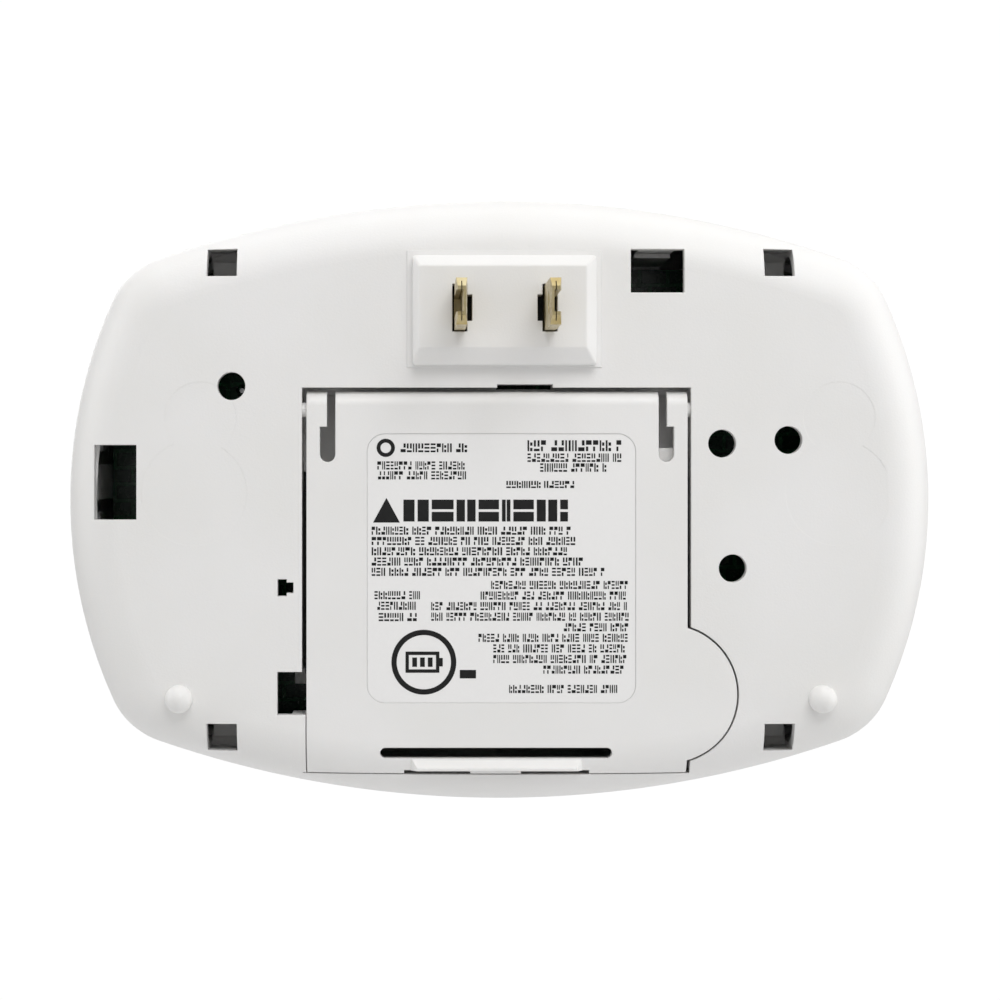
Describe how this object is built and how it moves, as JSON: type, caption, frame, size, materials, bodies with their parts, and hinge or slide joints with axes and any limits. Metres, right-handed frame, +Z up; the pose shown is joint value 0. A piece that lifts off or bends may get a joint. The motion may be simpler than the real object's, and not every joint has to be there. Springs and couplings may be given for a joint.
{
  "type": "carbon monoxide detector",
  "caption": "Plug-in carbon monoxide alarm with fold-out wall plug blades, battery backup behind a hinged door, horn, sensor, indicator lights and test button.",
  "frame": {"origin": "centre of the plug's flat face, midway between the two blades", "axes": "+Z up as plugged in, +Y out of the plug's face towards the wall outlet, +X to the right as seen from the front of the detector"},
  "size_m": [0.1238, 0.0618, 0.0862],
  "materials": {
    "cover_abs": "fine matte texture",
    "front_abs": "satin",
    "door_abs": "fine matte texture",
    "label_film": "satin film",
    "button_abs": "satin",
    "light_pipe": "clear polished",
    "plated_brass": "nickel plated, worn",
    "black_nylon": "matte",
    "battery_jacket": "satin",
    "nickel_steel": "plated",
    "board_laminate": "solder mask",
    "solder": "bright",
    "chip_epoxy": "matte",
    "tinned_copper": "bright",
    "capacitor_case": "gloss",
    "varistor_lacquer": "gloss",
    "resistor_lacquer": "gloss",
    "diode_epoxy": "gloss",
    "capacitor_sleeve": "gloss",
    "ferrite": "matte",
    "horn_plastic": "matte",
    "piezo_brass": "satin",
    "sensor_plastic": "satin",
    "sensor_steel": "brushed",
    "switch_plastic": "matte",
    "led_green": "clear tinted",
    "led_red": "clear tinted",
    "led_amber": "clear tinted",
    "white_insulation": "satin",
    "black_insulation": "satin",
    "red_insulation": "satin"
  },
  "bodies": {
    "case": {"back_cover": "cover_abs", "front_cover": "front_abs", "light_pipe_power": "light_pipe", "light_pipe_alarm": "light_pipe", "light_pipe_battery": "light_pipe", "plug_blade_left": "plated_brass", "plug_blade_right": "plated_brass", "blade_retainer": "black_nylon", "battery": "battery_jacket", "battery_terminal_plus": "nickel_steel", "battery_terminal_minus": "nickel_steel", "battery_contact_plus": "nickel_steel", "battery_contact_minus": "nickel_steel", "battery_connector": "black_nylon", "circuit_board": "board_laminate", "solder_joints": "solder", "microcontroller": "chip_epoxy", "microcontroller_legs": "tinned_copper", "film_capacitor": "capacitor_case", "varistor": "varistor_lacquer", "fuse_resistor": "resistor_lacquer", "rectifier_diodes": "diode_epoxy", "supply_capacitor": "capacitor_sleeve", "backup_capacitor": "capacitor_sleeve", "horn_inductor": "ferrite", "horn_body": "horn_plastic", "piezo_ring": "horn_plastic", "piezo_disc": "piezo_brass", "sensor_body": "sensor_plastic", "sensor_cap": "sensor_steel", "switch_body": "switch_plastic", "led_power": "led_green", "led_alarm": "led_red", "led_battery": "led_amber", "blade_lead_left": "white_insulation", "blade_lead_right": "black_insulation", "battery_lead_plus": "red_insulation", "battery_lead_minus": "black_insulation"},
    "battery_door": {"battery_door": "door_abs", "door_label": "label_film"},
    "test_button": {"test_button": "button_abs"},
    "switch_plunger": {"switch_plunger": "switch_plastic"}
  },
  "joints": [
    {"name": "door_hinge", "type": "hinge", "parent": "case", "child": "battery_door", "pos_m": [0.0005, -0.0046, -0.0143], "axis": [1, 0, 0], "range_deg": [0, 110]},
    {"name": "button_press", "type": "slide", "parent": "case", "child": "test_button", "axis": [0, 1, 0], "range_m": [0, 0.0004], "stiffness_N_per_m": 1500},
    {"name": "switch_press", "type": "slide", "parent": "case", "child": "switch_plunger", "axis": [0, 1, 0], "range_m": [0, 0.0004]}
  ],
  "couplings": [
    {"joint": "switch_press", "follows": "button_press", "ratio": 1}
  ]
}
